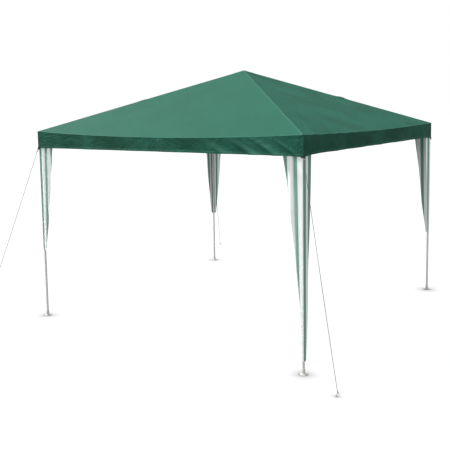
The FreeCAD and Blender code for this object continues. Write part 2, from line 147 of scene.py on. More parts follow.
# Suns, as (name, direction that the light travels, strength, spread in degrees).
SUNS = [
    ("Key", (0.70, 0.12, -0.70), 8.6, 16.0),
    ("Top", (0.0, 0.05, -1.0), 2.6, 60.0),
    ("Right", (-0.95, 0.10, -0.08), 1.0, 30.0),
    ("Front", (0.08, 0.97, -0.08), 1.9, 30.0),
]
FLOOR_REACH = 90.0
FLOOR_GLOW = 0.54
SKY_GLOW = 0.45
# Reach and power of the painted contact shadows, where the floor's glow dims near the feet.
CONTACT_REACH = 0.16
CONTACT_POWER = 5.0


def colour(name, description, default):
    return FloatVectorProperty(
        name=name, description=description, default=default, subtype="COLOR", min=0, max=1
    )


def length(name, description, default):
    return FloatProperty(name=name, description=description, default=default, unit="LENGTH")


def number(name, description, default):
    return FloatProperty(name=name, description=description, default=default)


def angle(name, description, degrees):
    return FloatProperty(
        name=name, description=description, default=math.radians(degrees), subtype="ANGLE"
    )


class GazeboSizes(bpy.types.PropertyGroup):
    eave_height: length("Eave height", "Height of the eave at the corners", HEM + VALANCE_TALL)
    front_left_sag: length("Front left sag", "How far the front left eave sags midway", 0.040)
    front_right_sag: length("Front right sag", "How far the front right eave sags midway", 0.020)
    rear_sag: length("Rear sag", "How far the two rear eaves sag midway", 0.028)
    front_left_lift: length("Front left lift", "How far the front left hem lifts off the corners", 0.007)
    front_right_lift: length("Front right lift", "How far the front right hem lifts off the corners", 0.015)
    rear_lift: length("Rear lift", "How far the rear hems lift off the corners", 0.006)
    ridge_height: length("Ridge height", "Height of the soft ridges beside the hips", 0.0018)
    knee_bump: length("Knee bump", "How far each knee lifts the cloth", 0.009)
    seam_rise: length("Seam rise", "How proud the hip seams stand", 0.0016)
    gather_gap: length("Gather gap", "Gap between a folded arm and its gathered cloth", 0.0165)
    gather_share: number("Gather share", "Share of the roof cloth's width left when folded", 0.034)
    flute_depth: length("Flute depth", "Depth of the valance's soft folds", 0.017)
    crown_reach: length("Crown reach", "Reach of the patch over the hub, along the sides", 0.15)
    roof_start: length("Roof start", "Where the roof cloth starts under the patch", 0.060)
    curtain_fold: length("Curtain fold", "Depth of the folds in the corner curtains", 0.007)
    curtain_split: length("Curtain split", "Height below which a curtain gathers as its leg slides", 0.90)
    curtain_gathered: length("Curtain gathered", "Lowest height of a gathered curtain", 0.80)
    webbing_width: length("Webbing width", "Width of the webbing that holds a ring", 0.013)


class GazeboColours(bpy.types.PropertyGroup):
    cloth: colour("Cloth", "Green of the canopy", (0.0060, 0.0465, 0.0280))
    cloth_worn: colour("Faded cloth", "Paler green where the cloth is brushed", (0.0098, 0.0680, 0.0455))
    webbing: colour("Webbing", "Dark tape of the corners and seams", (0.006, 0.022, 0.016))
    stripe_white: colour("White stripe", "White of the curtains", (0.60, 0.635, 0.62))
    stripe_green: colour("Green stripe", "Green of the curtains", (0.085, 0.185, 0.155))
    tube: colour("Tube", "Greyish white paint of the tubes", (0.40, 0.41, 0.39))
    nylon: colour("Nylon", "Black of the hub and arm fittings", (0.022, 0.023, 0.025))
    plastic: colour("Plastic", "Pale grey of the feet and brackets", (0.36, 0.37, 0.35))
    zinc: colour("Zinc", "Grey of the pegs, rings and pins", (0.56, 0.57, 0.59))
    rope: colour("Rope", "Grey of the guy ropes", (0.060, 0.060, 0.057))
    floor: colour("Floor", "Base grey of the floor, which glows", (0.03, 0.03, 0.03))


class GazeboView(bpy.types.PropertyGroup):
    turn: angle("Turn", "Camera's turn from -Y", 34.600)
    rise: angle("Rise", "Camera's angle above level", 6.180)
    roll: angle("Roll", "Camera's roll", -0.910)
    distance: length("Distance", "Distance of the camera from its target", 7.638)
    target: FloatVectorProperty(
        name="Target", description="Point the camera turns about",
        default=(-0.3254, 0.0902, 1.3025), subtype="TRANSLATION",
    )
    lens: number("Lens", "Focal length in millimetres", 55.416)
    shift: number("Shift", "Vertical shift of the lens", -0.0989)


def sizes():
    return bpy.context.scene.gazebo_sizes


def paint(name):
    """One of the gazebo's colours, as three values."""
    return tuple(getattr(bpy.context.scene.gazebo_colours, name))


# ---- node graphs ----

def fill_inputs(tree, made, inputs):
    for key, value in inputs.items():
        if isinstance(value, bpy.types.NodeSocket):
            tree.links.new(value, made.inputs[key])
        else:
            made.inputs[key].default_value = value


def add_node(tree, kind, inputs=None, **settings):
    """Adds a node; a socket among the inputs is linked and any other value is set."""
    made = tree.nodes.new(kind)
    for key, value in settings.items():
        setattr(made, key, value)
    fill_inputs(tree, made, inputs or {})
    return made


def maths(tree, operation, first, second=0.0, third=0.0):
    made = add_node(tree, "ShaderNodeMath", {0: first, 1: second, 2: third}, operation=operation)
    return made.outputs[0]


def noise(tree, place, scale, detail=2.0, **more):
    inputs = {"Vector": place, "Scale": scale, "Detail": detail, **more}
    return add_node(tree, "ShaderNodeTexNoise", inputs).outputs[0]


def threads(tree, place, scale, unevenness, direction):
    inputs = {"Vector": place, "Scale": scale, "Distortion": unevenness}
    return add_node(tree, "ShaderNodeTexWave", inputs, bands_direction=direction).outputs["Fac"]


def mixed(tree, share, first, second):
    """A blend of two colours, each of them a socket or three values."""
    made = add_node(tree, "ShaderNodeMix", data_type="RGBA")
    sockets = {socket.name: socket for socket in made.inputs if socket.enabled}
    for title, value in (("Factor", share), ("A", first), ("B", second)):
        if isinstance(value, bpy.types.NodeSocket):
            tree.links.new(value, sockets[title])
        else:
            sockets[title].default_value = value if title == "Factor" else (*value, 1.0)
    return next(socket for socket in made.outputs if socket.enabled)


def new_group(name, inputs, outputs):
    """A shader node group. An input with a default is a number and one without is a vector."""
    group = bpy.data.node_groups.new(name, "ShaderNodeTree")
    for title, default in inputs.items():
        kind = "NodeSocketVector" if default is None else "NodeSocketFloat"
        socket = group.interface.new_socket(title, in_out="INPUT", socket_type=kind)
        if default is not None:
            socket.default_value = default
    for title in outputs:
        group.interface.new_socket(title, in_out="OUTPUT", socket_type="NodeSocketFloat")
    start = group.nodes.new("NodeGroupInput")
    end = group.nodes.new("NodeGroupOutput")
    return group, start, end


def weave_group():
    """Plain weave: two bands of threads square to each other, with uneven thread tones and slubs."""
    inputs = {"Vector": None, "Threads": 900.0, "Patch scale": 6.0}
    group, start, end = new_group("Plain weave", inputs, ["Height", "Tone", "Patch"])
    place = start.outputs["Vector"]
    bands = [threads(group, place, start.outputs["Threads"], 0.4, direction) for direction in "XY"]
    slub_scale = maths(group, "MULTIPLY", start.outputs["Threads"], 0.2)
    slub = noise(group, place, slub_scale)
    crossing = maths(group, "MULTIPLY", bands[0], bands[1])
    group.links.new(maths(group, "MULTIPLY_ADD", slub, 0.5, crossing), end.inputs["Height"])
    group.links.new(slub, end.inputs["Tone"])
    group.links.new(noise(group, place, start.outputs["Patch scale"], 3.0), end.inputs["Patch"])
    return group


def crease_group():
    """Creases: ridges where a noise, drawn out one way and bent by a broader one, is at its mean."""
    group, start, end = new_group("Creases", {"Vector": None, "Scale": 7.0}, ["Height"])
    bend = add_node(group, "ShaderNodeTexNoise", {"Vector": start.outputs["Vector"], "Scale": 2.2})
    moved = add_node(
        group, "ShaderNodeVectorMath", {0: start.outputs["Vector"], 1: bend.outputs["Color"]}, operation="ADD"
    ).outputs[0]
    drawn = add_node(
        group, "ShaderNodeMapping", {"Vector": moved, "Rotation": (0.0, 0.0, 0.5), "Scale": (0.7, 2.6, 1.0)}
    ).outputs[0]
    broad = noise(group, drawn, start.outputs["Scale"], 4.0, Roughness=0.55)
    sharp = maths(group, "ABSOLUTE", maths(group, "SUBTRACT", broad, 0.5))
    group.links.new(maths(group, "SUBTRACT", 1.0, maths(group, "MULTIPLY", sharp, 4.0)), end.inputs["Height"])
    return group


def stitch_group():
    """Stitches and tape beside a seam: a thin band at a set distance from it on either side, cut
    into dashes along it, and a broad band over the seam."""
    group, start, end = new_group(
        "Stitch rows",
        {"Distance": 1.0, "Along": 0.0, "Row": 0.006, "Thread": 0.0006, "Tape": 0.010},
        ["Stitch", "Tape"],
    )
    away = maths(group, "ABSOLUTE", maths(group, "SUBTRACT", start.outputs["Distance"], start.outputs["Row"]))
    row = maths(group, "LESS_THAN", away, start.outputs["Thread"])
    phase = maths(group, "FRACT", maths(group, "MULTIPLY", start.outputs["Along"], 280.0))
    dash = maths(group, "GREATER_THAN", phase, 0.3)
    group.links.new(maths(group, "MULTIPLY", row, dash), end.inputs["Stitch"])
    tape = maths(group, "LESS_THAN", start.outputs["Distance"], start.outputs["Tape"])
    group.links.new(tape, end.inputs["Tape"])
    return group


def stripe_group():
    """Stripes across a strip: a ramp over the distance from the corner, with green as one."""
    group, start, end = new_group("Curtain stripes", {"Across": 0.0}, ["Green"])
    low, high = STRIPES[0][0], STRIPES[-1][0]
    shifted = maths(group, "SUBTRACT", start.outputs["Across"], low)
    ramp = group.nodes.new("ShaderNodeValToRGB")
    group.links.new(maths(group, "DIVIDE", shifted, high - low), ramp.inputs[0])
    ramp.color_ramp.elements.remove(ramp.color_ramp.elements[1])
    places = []
    for (begin, value), (finish, _) in zip(STRIPES, STRIPES[1:]):
        places += [(begin + STRIPE_EDGE, value), (finish - STRIPE_EDGE, value)]
    for number, (place, value) in enumerate(places):
        if number:
            element = ramp.color_ramp.elements.new((place - low) / (high - low))
        else:
            element = ramp.color_ramp.elements[0]
            element.position = (place - low) / (high - low)
        element.color = (value, value, value, 1)
    group.links.new(ramp.outputs[0], end.inputs["Green"])
    return group


def dust_group():
    """Settled dust and handling marks: broad noise above a level, and a finer noise for grain."""
    inputs = {"Vector": None, "Scale": 9.0, "Amount": 0.3}
    group, start, end = new_group("Settled dust", inputs, ["Dust", "Grain"])
    place = start.outputs["Vector"]
    broad = noise(group, place, start.outputs["Scale"], 5.0)
    lifted = maths(group, "SUBTRACT", broad, 0.42)
    group.links.new(
        maths(group, "MULTIPLY", maths(group, "MAXIMUM", lifted, 0.0), start.outputs["Amount"]),
        end.inputs["Dust"],
    )
    group.links.new(noise(group, place, 420.0), end.inputs["Grain"])
    return group


def placed(tree, name, maker, inputs):
    """Places a node group in a tree; the group is made the first time that it's needed."""
    made = tree.nodes.new("ShaderNodeGroup")
    made.node_tree = bpy.data.node_groups.get(name) or maker()
    fill_inputs(tree, made, inputs)
    return made


def stitches(tree):
    """The stitch rows and tape of a piece, from its own distance to a seam and place along it."""
    seam = add_node(tree, "ShaderNodeAttribute", attribute_name="seam").outputs["Fac"]
    along = add_node(tree, "ShaderNodeAttribute", attribute_name="along").outputs["Fac"]
    return placed(tree, "Stitch rows", stitch_group, {"Distance": seam, "Along": along})


def new_material(name, **constants):
    """A material with one Principled shader, whose constant values are set on its sockets."""
    material = bpy.data.materials.new(name)
    material.use_nodes = True
    shader = material.node_tree.nodes["Principled BSDF"]
    for key, value in constants.items():
        shader.inputs[key.replace("_", " ")].default_value = value
    return material, material.node_tree, shader


def bump(tree, shader, height, distance, strength=0.6):
    made = add_node(tree, "ShaderNodeBump", {"Height": height, "Distance": distance, "Strength": strength})
    tree.links.new(made.outputs[0], shader.inputs["Normal"])


def canopy_cloth():
    """Green coated polyester, faded in patches, with creases darkened by painted shade, and tape and stitches
    at its seams.
    The crease attribute sets how strongly the patches, the creases and their painted shade show."""
    material, tree, shader = new_material(
        "Green canopy cloth", Sheen_Weight=0.014, Sheen_Roughness=0.40, Specular_IOR_Level=0.06,
        Sheen_Tint=(0.60, 0.90, 1.0, 1.0),
    )
    place = add_node(tree, "ShaderNodeUVMap", uv_map="Cloth").outputs[0]
    weave = placed(tree, "Plain weave", weave_group, {"Vector": place, "Threads": 800.0, "Patch scale": 2.6})
    stitch = stitches(tree)
    creases = placed(tree, "Creases", crease_group, {"Vector": place, "Scale": 4.2})
    amount = add_node(tree, "ShaderNodeAttribute", attribute_name="crease").outputs["Fac"]
    tone = maths(tree, "MULTIPLY_ADD", weave.outputs["Patch"], 0.5, 0.25)
    swing = maths(tree, "MULTIPLY", maths(tree, "SUBTRACT", weave.outputs["Patch"], 0.5), amount)
    tone = maths(tree, "MULTIPLY_ADD", swing, 6.0, tone)
    base = mixed(tree, tone, paint("cloth"), paint("cloth_worn"))
    folded = maths(tree, "MULTIPLY", creases.outputs["Height"], amount)
    # Painted shade: the cloth turns a darker green along its creases.
    base = mixed(tree, maths(tree, "MULTIPLY", folded, 0.30), base, (0.0045, 0.028, 0.017))
    base = mixed(tree, maths(tree, "MULTIPLY", stitch.outputs["Tape"], 0.10), base, (0.05, 0.13, 0.10))
    base = mixed(tree, stitch.outputs["Stitch"], base, (0.035, 0.11, 0.08))
    tree.links.new(base, shader.inputs["Base Color"])
    rough = maths(tree, "MULTIPLY_ADD", weave.outputs["Tone"], 0.16, 0.58)
    tree.links.new(rough, shader.inputs["Roughness"])
    height = maths(tree, "MULTIPLY_ADD", stitch.outputs["Stitch"], 0.7, weave.outputs["Height"])
    height = maths(tree, "MULTIPLY_ADD", folded, 13.0, height)
    bump(tree, shader, height, 0.0006)
    return material


def green_cloth():
    return bpy.data.materials.get("Green canopy cloth") or canopy_cloth()


def curtain_cloth():
    """Thin cloth with white and green stripes, one of them paler, that run down the strip."""
    material, tree, shader = new_material(
        "Striped curtain cloth", Roughness=0.75, Sheen_Weight=0.05, Sheen_Roughness=0.5,
        Specular_IOR_Level=0.2,
    )
    uv = add_node(tree, "ShaderNodeUVMap", uv_map="Cloth").outputs[0]
    split = add_node(tree, "ShaderNodeSeparateXYZ", {0: uv})
    weave = placed(tree, "Plain weave", weave_group, {"Vector": uv, "Threads": 650.0, "Patch scale": 5.0})
    stripes = placed(tree, "Curtain stripes", stripe_group, {"Across": split.outputs["X"]})
    stitch = stitches(tree)
    base = mixed(
        tree, stripes.outputs["Green"], paint("stripe_white"), paint("stripe_green")
    )
    shade = maths(tree, "MULTIPLY", weave.outputs["Patch"], 0.10)
    base = mixed(tree, shade, base, (0.40, 0.50, 0.46))
    base = mixed(tree, maths(tree, "MULTIPLY", stitch.outputs["Tape"], 0.12), base, (0.35, 0.45, 0.42))
    base = mixed(tree, maths(tree, "MULTIPLY", stitch.outputs["Stitch"], 0.5), base, (0.25, 0.33, 0.31))
    tree.links.new(base, shader.inputs["Base Color"])
    bump(tree, shader, weave.outputs["Height"], 0.0005)
    return material


def webbing_tape():
    """Dark woven tape with ribs across it."""
    material, tree, shader = new_material("Corner webbing", Roughness=0.85, Specular_IOR_Level=0.1)
    uv = add_node(tree, "ShaderNodeUVMap", uv_map="Cloth").outputs[0]
    weave = placed(tree, "Plain weave", weave_group, {"Vector": uv, "Threads": 420.0, "Patch scale": 30.0})
    base = mixed(tree, weave.outputs["Tone"], paint("webbing"), (0.012, 0.040, 0.030))
    tree.links.new(base, shader.inputs["Base Color"])
    bump(tree, shader, weave.outputs["Height"], 0.0008)
    return material


def rope_braid():
    """Braided polyester: two sets of strands that cross, as bands slanting both ways, with painted shade in
    the low places between them.
    """
    material, tree, shader = new_material("White braided rope", Roughness=0.7, Sheen_Weight=0.15)
    place = add_node(tree, "ShaderNodeTexCoord").outputs["Object"]
    bands = []
    for slant in (0.9, -0.9):
        turned = add_node(
            tree, "ShaderNodeMapping", {"Vector": place, "Rotation": (slant, slant / 2, 0.0)}
        ).outputs[0]
        bands.append(threads(tree, turned, 130.0, 0.3, "Z"))
    braid = maths(tree, "MAXIMUM", bands[0], bands[1])
    dust = placed(tree, "Settled dust", dust_group, {"Vector": place, "Scale": 12.0, "Amount": 0.5})
    base = mixed(tree, dust.outputs["Dust"], paint("rope"), (0.055, 0.053, 0.049))
    # Painted shade: the rope turns darker where the braid's bands are low, between the strands.
    base = mixed(tree, maths(tree, "MULTIPLY_ADD", braid, -0.25, 0.25), base, (0.042, 0.042, 0.040))
    tree.links.new(base, shader.inputs["Base Color"])
    bump(tree, shader, braid, 0.0006, 0.8)
    return material


def hard_finish(name, base, roughness, dust, grain, coat=0.0):
    """A hard finish with fine grain in its surface and a little settled dust."""
    material, tree, shader = new_material(name, Coat_Weight=coat, Coat_Roughness=0.25)
    place = add_node(tree, "ShaderNodeTexCoord").outputs["Object"]
    marks = placed(tree, "Settled dust", dust_group, {"Vector": place, "Scale": 14.0, "Amount": dust})
    tree.links.new(
        mixed(tree, marks.outputs["Dust"], base, (0.42, 0.40, 0.36)), shader.inputs["Base Color"]
    )
    rough = maths(tree, "MULTIPLY_ADD", marks.outputs["Grain"], 0.22, roughness - 0.11)
    tree.links.new(rough, shader.inputs["Roughness"])
    bump(tree, shader, marks.outputs["Grain"], grain, 0.5)
    return material


def brushed_zinc():
    """Bright zinc plate: a crystal pattern of slightly different greys over steel."""
    material, tree, shader = new_material("Zinc plated steel", Metallic=1.0)
    place = add_node(tree, "ShaderNodeTexCoord").outputs["Object"]
    spangle = add_node(tree, "ShaderNodeTexVoronoi", {"Vector": place, "Scale": 260.0})
    marks = placed(tree, "Settled dust", dust_group, {"Vector": place, "Scale": 30.0, "Amount": 0.4})
    base = mixed(tree, spangle.outputs["Distance"], paint("zinc"), (0.72, 0.73, 0.74))
    tree.links.new(base, shader.inputs["Base Color"])
    rough = maths(tree, "MULTIPLY_ADD", spangle.outputs["Distance"], 0.25, 0.28)
    tree.links.new(rough, shader.inputs["Roughness"])
    bump(tree, shader, marks.outputs["Grain"], 0.0002, 0.4)
    return material


# ---- meshes ----

def new_object(name, data):
    made = bpy.data.objects.new(name, data)
    bpy.context.scene.collection.objects.link(made)
    return made


def smooth_object(name, mesh, material):
    mesh.polygons.foreach_set("use_smooth", np.ones(len(mesh.polygons), bool))
    mesh.materials.append(material)
    return new_object(name, mesh)


def grid_faces(rows, columns):
    """Corner indices of the quads of a grid whose points run row by row."""
    index = np.arange(rows * columns).reshape(rows, columns)
    quads = np.stack([index[:-1, :-1], index[:-1, 1:], index[1:, 1:], index[1:, :-1]], axis=-1)
    return quads.reshape(-1, 4)


def cloth_piece(name, grids, outward, material):
    """A mesh of one or more grids, each a dict of points, uv, seam, along and how creased it is,
    merged where they meet. A grid is turned over where its summed normal points against outward."""
    points = []
    uvs = []
    faces = []
    values = {"seam": [], "along": [], "crease": []}
    count = 0
    for grid in grids:
        place = grid["points"].reshape(-1, 3)
        quads = grid_faces(*grid["seam"].shape)
        diagonal = place[quads[:, 2]] - place[quads[:, 0]]
        other = place[quads[:, 3]] - place[quads[:, 1]]
        if np.cross(diagonal, other).sum(0) @ np.asarray(grid.get("outward", outward)) < 0:
            quads = quads[:, ::-1]
        points.append(place)
        uvs.append(grid["uv"].reshape(-1, 2))
        faces.append(quads + count)
        for title, found in values.items():
            found.append(np.broadcast_to(grid.get(title, 0.0), grid["seam"].shape).ravel())
        count += len(place)
    mesh = bpy.data.meshes.new(name)
    mesh.from_pydata(np.concatenate(points).tolist(), [], np.concatenate(faces).tolist())
    for title, found in values.items():
        attribute = mesh.attributes.new(title, "FLOAT", "POINT")
        attribute.data.foreach_set("value", np.concatenate(found).astype(np.float32))
    layer = mesh.uv_layers.new(name="Cloth")
    corners = np.zeros(len(mesh.loops), np.int32)
    mesh.loops.foreach_get("vertex_index", corners)
    layer.data.foreach_set("uv", np.concatenate(uvs)[corners].astype(np.float32).ravel())
    shape = bmesh.new()
    shape.from_mesh(mesh)
    bmesh.ops.remove_doubles(shape, verts=shape.verts, dist=2e-5)
    bmesh.ops.dissolve_degenerate(shape, edges=shape.edges, dist=1e-6)
    shape.to_mesh(mesh)
    shape.free()
    return smooth_object(name, mesh, material)


def bell(distance, breadth):
    """One at no distance, then e to the power of minus the square of distance over breadth."""
    return np.exp(-((distance / breadth) ** 2))


def side_value(x, y, values):
    """The value of the side that each plan point belongs to; values are for -Y, +X, +Y and -X."""
    along_x = np.where(x > 0, values[1], values[3])
    along_y = np.where(y > 0, values[2], values[0])
    return np.where(np.abs(x) > np.abs(y), along_x, along_y)


def roof_height(x, y):
    """Height of the roof cloth over plan points. With t the larger and m the smaller coordinate as
    shares of the half side: the apex less the rise times t, less the side's sag times
    (1 - (m/t)^2) t^1.5; plus ridges that run beside the hips, pulls that spread from the corners
    as a sine of the angle there, a bell over each knee and a narrow bell along each hip seam."""
    size = sizes()
    share_x = np.abs(x) / HALF
    share_y = np.abs(y) / HALF
    t = np.maximum(np.maximum(share_x, share_y), 1e-6)
    m = np.minimum(share_x, share_y)
    sags = (size.front_left_sag, size.front_right_sag, size.rear_sag, size.rear_sag)
    height = APEX - (APEX - size.eave_height) * t
    height = height - side_value(x, y, sags) * (1 - (m / t) ** 2) * t**1.5
    hip = (t - m) * HALF / ROOT_TWO
    phase = side_value(x, y, ROOF_PHASE)
    window = (1 - bell(hip, RIDGE_NEAR)) * bell(hip, RIDGE_FAR) * t
    ridges = np.sin(2 * math.pi * hip / RIDGE_PITCH + 0.9 * np.sin(4.2 * t + phase) + phase)
    ridge = size.ridge_height * side_value(x, y, ROOF_RIDGE)
    height = height + ridge * window * ridges
    reach = np.hypot(1 - t, 1 - m) * HALF
    angle = np.arctan2(1 - m, 1 - t + 1e-6)
    pulls = np.sin(PULL_WAVES * angle + phase) * np.exp(-reach / PULL_FAR) * (1 - bell(reach, PULL_NEAR))
    height = height + PULL_SHARE * ridge * pulls * (1 - bell(hip, 0.05))
    knee = np.hypot(np.abs(x) - KNEE, np.abs(y) - KNEE)
    lifted = size.knee_bump * np.where((x > 0) & (y > 0), 1.0, LOW_KNEE)
    height = height + lifted * bell(knee, KNEE_BREADTH)
    return height + size.seam_rise * bell(hip, SEAM_BREADTH)


def roof_grid(corner, face, low, high, rows, lift=0.0):
    """Part of the roof between a hip and the middle of one side, cut by two lines square to the
    hip. The sum of the coordinate shares runs from low to high; their difference runs from
    nothing at the hip to its full width, in steps that are closer together at the hip."""
    sign_x, sign_y = CORNERS[corner]
    sign = 1 if face == "x" else -1
    total, share = np.meshgrid(np.linspace(low, high, rows), np.linspace(0, 1, 45), indexing="ij")
    across = sign * share**1.5 * np.minimum(total, 2 - total)
    x = sign_x * HALF * (total + across) / 2
    y = sign_y * HALF * (total - across) / 2
    hip = np.abs(across) * HALF / ROOT_TWO
    edge = HALF - np.maximum(np.abs(x), np.abs(y))
    return {
        "points": np.stack([x, y, roof_height(x, y) + lift], axis=-1),
        "uv": np.stack([x, y], axis=-1),
        "seam": np.minimum(hip, edge),
        "along": np.where(hip < edge, total * HALF / ROOT_TWO, x + y),
        "crease": ROOF_CREASE[side_of(corner, face)],
    }


def face_point(corner, face, along, out, height):
    """A point of a side's face: along runs from the middle of the side to the corner."""
    sign_x, sign_y = CORNERS[corner]
    if face == "x":
        return np.stack([sign_x * out, sign_y * along, height], axis=-1)
    return np.stack([sign_x * along, sign_y * out, height], axis=-1)


def face_outward(corner, face):
    sign_x, sign_y = CORNERS[corner]
    return (sign_x, 0, 0) if face == "x" else (0, sign_y, 0)


def face_along(corner, face):
    return face_outward(corner, "y" if face == "x" else "x")


def side_of(corner, face):
    """Which side a corner's face is: 0 for -Y, 1 for +X, 2 for +Y and 3 for -X."""
    sign_x, sign_y = CORNERS[corner]
    if face == "x":
        return 1 if sign_x > 0 else 3
    return 2 if sign_y > 0 else 0


def valance_grid(corner, face):
    """Half of one side's valance. It hangs from the roof's edge to the hem; its distance out is
    the half side plus flutes, which are sines along the side that deepen downwards and slant a
    little, on the -Y side plus a bell for each pressed fold, and plus the doubled hem."""
    size = sizes()
    side = side_of(corner, face)
    along, drop = np.meshgrid(np.linspace(0, HALF, 161), np.linspace(0, 1, 27), indexing="ij")
    sign = face_along(corner, face)
    place = along * (sign[0] + sign[1])
    edge = face_point(corner, face, along, np.full_like(along, HALF), along)
    eave = roof_height(edge[..., 0], edge[..., 1])
    lift = (size.front_left_lift, size.front_right_lift, size.rear_lift, size.rear_lift)[side]
    hem = HEM + lift * (1 - (along / HALF) ** 20)
    height = eave + (hem - eave) * drop
    slanted = place - 0.10 * drop + 0.7 * side
    broad = 0.5 + 0.5 * np.sin(2 * math.pi * slanted / BROAD_FLUTE + 1.1 * np.sin(2.3 * slanted))
    bent = 1.7 * np.sin(1.9 * slanted + side)
    narrow = 0.5 + 0.5 * np.sin(2 * math.pi * slanted / NARROW_FLUTE + bent)
    flutes = 0.55 * broad + 0.45 * narrow * broad
    if side == 0:
        for centre, breadth, depth in PRESSED_FOLDS:
            flutes = flutes + depth * bell(place - centre - PRESSED_SLANT * drop, breadth)
    held = 1 - (along / HALF) ** 14
    out = HALF + size.flute_depth * flutes * held * drop**1.2
    above_hem = height - hem
    out = out + HEM_THICK * (above_hem < HEM_TALL)
    return {
        "points": face_point(corner, face, along, out, height),
        "uv": np.stack([place, height], axis=-1),
        "seam": np.abs(above_hem - 0.010),
        "along": place,
        "crease": 1.0,
        "outward": face_outward(corner, face),
    }


def curtain_grid(corner, face, low, high, rows):
    """Part of a curtain on one face. Across it, the cloth first follows an eighth of a turn round
    the leg, then the face, where it folds inwards by a squared sine of the distance across."""
    size = sizes()
    widths = CURTAIN_WIDTHS.get((corner, face), COMMON_WIDTHS)
    heights, broad = zip(*widths)
    z, share = np.meshgrid(np.linspace(low, high, rows), np.linspace(0, 1, 49), indexing="ij")
    width = np.interp(z, heights, broad)
    across = share * width
    drawn_in = (broad[-1] / width) ** 0.3
    radius = CURTAIN_FACE - LEG_LINE
    eighth = radius * math.pi / 4
    turned = math.pi / 4 - np.minimum(across, eighth) / radius
    flat = np.maximum(across - eighth, 0)
    fold = np.sin(math.pi * flat / 0.062 + 1.3 * np.sin(1.4 * z)) ** 2
    inwards = size.curtain_fold * fold * (1 - bell(flat, 0.05))
    out = LEG_LINE + radius * np.cos(turned) - inwards
    along = LEG_LINE + radius * np.sin(turned) - flat
    sign_x, sign_y = CORNERS[corner]
    signed = across if (face == "x") == (sign_x * sign_y < 0) else -across
    return {
        "points": face_point(corner, face, along, out, z),
        "uv": np.stack([signed * drawn_in, z], axis=-1),
        "seam": np.abs(across[:, -1:] - across),
        "along": z,
        "outward": face_outward(corner, face),
    }


def web_triangle(corner, face):
    """Sewn patch over the hem at a corner: a right triangle that narrows downwards."""
    across, drop = np.meshgrid(np.linspace(0, 1, 13), np.linspace(0, 1, 13), indexing="ij")
    height = HEM + PATCH_RISE - PATCH_TALL * drop
    width = PATCH_WIDE * np.minimum(1, 1.9 * (1 - drop) + 0.02)
    along = HALF + WEB_THICK - across * width
    out = np.full_like(along, HALF + 2 * WEB_THICK)
    return {
        "points": face_point(corner, face, along + WEB_THICK, out, height),
        "uv": np.stack([along, height], axis=-1),
        "seam": np.full_like(along, 1.0),
        "along": along,
        "outward": face_outward(corner, face),
    }


def strap_grid(corner):
    """Webbing strap in a corner's diagonal plane: two straight runs from the hem joined by a half
    turn under the ring's upper wire, swept across its own width."""
    size = sizes()
    low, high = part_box(corner + "_guy_ring")
    sign_x, sign_y = CORNERS[corner]
    ring_out = math.hypot((low.x + high.x) / 2, (low.y + high.y) / 2)
    ring_top = high.z - RING_WIRE
    start = np.array([HALF * ROOT_TWO + 0.003, HEM + 0.022])
    centre = np.array([ring_out, ring_top])
    run = (centre - start) / np.linalg.norm(centre - start)
    square = np.array([-run[1], run[0]])
    radius = RING_WIRE + WEB_THICK
    turn = np.linspace(0, math.pi, 17)[:, None]
    loop = centre + radius * (np.cos(turn) * square + np.sin(turn) * run)
    steps = np.linspace(0, 1, 9)[:-1, None]
    first = (start + WEB_THICK * square) * (1 - steps) + loop[0] * steps
    last = (start - WEB_THICK * square) * (1 - steps) + loop[-1] * steps
    path = np.concatenate([first, loop, last[::-1]])
    lateral = np.linspace(-0.5, 0.5, 9) * size.webbing_width
    out, height, side = np.broadcast_arrays(path[:, :1], path[:, 1:], lateral)
    x = (sign_x * out - sign_y * side) / ROOT_TWO
    y = (sign_y * out + sign_x * side) / ROOT_TWO
    return {
        "points": np.stack([x, y, height], axis=-1),
        "uv": np.stack([side, height], axis=-1),
        "seam": np.full_like(side, 1.0),
        "along": height,
        "outward": (sign_x, sign_y, 0),
    }


def ring_mesh(name, centre, axis, radius, wire, material):
    """A torus round an axis: the wire's circle carried round the ring's circle."""
    axis = Vector(axis).normalized()
    first = axis.orthogonal().normalized()
    second = axis.cross(first)
    around, over = np.meshgrid(
        np.linspace(0, 2 * math.pi, 41)[:-1], np.linspace(0, 2 * math.pi, 17)[:-1], indexing="ij"
    )
    radial = np.cos(around)[..., None] * np.array(first) + np.sin(around)[..., None] * np.array(second)
    points = np.array(centre) + radial * (radius + wire * np.cos(over))[..., None]
    points = points + np.array(axis) * (wire * np.sin(over))[..., None]
    index = np.arange(around.size).reshape(around.shape)
    ahead = np.roll(index, -1, 0)
    beside = np.roll(index, -1, 1)
    both = np.roll(ahead, -1, 1)
    faces = np.stack([index, ahead, both, beside], axis=-1).reshape(-1, 4)
    mesh = bpy.data.meshes.new(name)
    mesh.from_pydata(points.reshape(-1, 3).tolist(), [], faces.tolist())
    return smooth_object(name, mesh, material)


# ---- operators ----

class GAZEBO_OT_camera(bpy.types.Operator):
    """Places the camera in front of the front corner"""
    bl_idname = "gazebo.camera"
    bl_label = "Camera"

    def execute(self, context):
        view = context.scene.gazebo_view
        flat = math.cos(view.rise)
        back = Vector((math.sin(view.turn) * flat, -math.cos(view.turn) * flat, math.sin(view.rise)))
        level = Vector((0, 0, 1)).cross(back).normalized()
        upright = back.cross(level)
        right = level * math.cos(view.roll) + upright * math.sin(view.roll)
        up = back.cross(right)
        data = bpy.data.cameras.new("Camera")
        data.lens = view.lens
        data.sensor_width = 36.0
        data.shift_y = view.shift
        data.clip_end = 500.0
        camera = new_object("Camera", data)
        turned = Matrix((right, up, back)).transposed().to_4x4()
        camera.matrix_world = Matrix.Translation(Vector(view.target) + back * view.distance) @ turned
        context.scene.camera = camera
        return {"FINISHED"}


